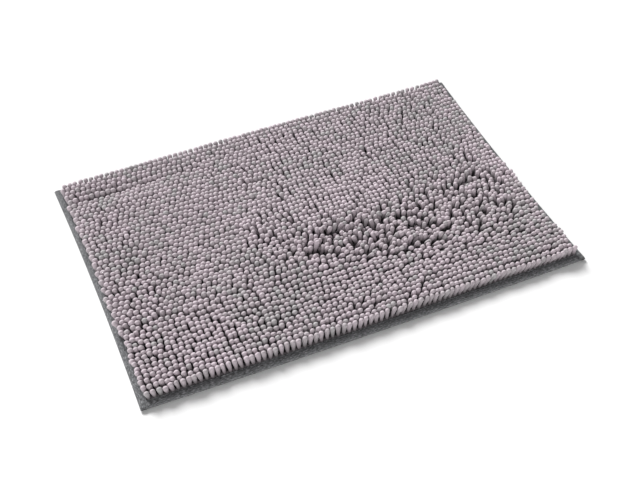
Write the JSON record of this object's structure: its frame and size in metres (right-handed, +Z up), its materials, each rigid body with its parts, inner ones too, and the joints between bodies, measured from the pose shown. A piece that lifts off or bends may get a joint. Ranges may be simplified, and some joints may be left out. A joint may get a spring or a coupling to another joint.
{
  "type": "chenille mat",
  "caption": "Low rectangular mat with a dense pile of soft chenille yarn fingers, a woven edge binding and a dotted non-slip underside.",
  "frame": {"origin": "centre of the underside, on the floor", "axes": "+X along the long side, +Y towards the back edge, +Z up out of the pile"},
  "size_m": [0.6, 0.4, 0.02],
  "materials": {
    "chenille": "soft mauve-grey microfibre chenille, matt with a pale sheen on the tips",
    "ground_cloth": "dark grey woven ground cloth, matt",
    "binding_tape": "dark grey flecked plain-woven tape, matt",
    "thread": "dark grey spun sewing thread",
    "foam": "pale open-cell foam, matt",
    "backing_rubber": "dark grey soft moulded rubber with raised grip dots, matt"
  },
  "bodies": {
    "root": {"nonslip_backing": "backing_rubber", "foam_interlayer": "foam", "ground_cloth": "ground_cloth", "binding_left": "binding_tape", "binding_right": "binding_tape", "binding_front": "binding_tape", "binding_back": "binding_tape", "needle_thread": "thread", "bobbin_thread": "thread", "pile_row_01": "chenille", "pile_row_02": "chenille", "pile_row_03": "chenille", "pile_row_04": "chenille", "pile_row_05": "chenille", "pile_row_06": "chenille", "pile_row_07": "chenille", "pile_row_08": "chenille", "pile_row_09": "chenille", "pile_row_10": "chenille", "pile_row_11": "chenille", "pile_row_12": "chenille", "pile_row_13": "chenille", "pile_row_14": "chenille", "pile_row_15": "chenille", "pile_row_16": "chenille", "pile_row_17": "chenille", "pile_row_18": "chenille", "pile_row_19": "chenille", "pile_row_20": "chenille", "pile_row_21": "chenille", "pile_row_22": "chenille", "pile_row_23": "chenille", "pile_row_24": "chenille", "pile_row_25": "chenille", "pile_row_26": "chenille", "pile_row_27": "chenille", "pile_row_28": "chenille", "pile_row_29": "chenille", "pile_row_30": "chenille", "pile_row_31": "chenille", "pile_row_32": "chenille", "pile_row_33": "chenille", "pile_row_34": "chenille", "pile_row_35": "chenille", "pile_row_36": "chenille", "pile_row_37": "chenille", "pile_row_38": "chenille", "pile_row_39": "chenille", "pile_row_40": "chenille", "pile_row_41": "chenille", "pile_row_42": "chenille", "pile_row_43": "chenille", "pile_row_44": "chenille", "pile_row_45": "chenille", "pile_row_46": "chenille", "pile_row_47": "chenille", "pile_row_48": "chenille", "pile_row_49": "chenille", "pile_row_50": "chenille", "pile_row_51": "chenille"}
  },
  "joints": []
}
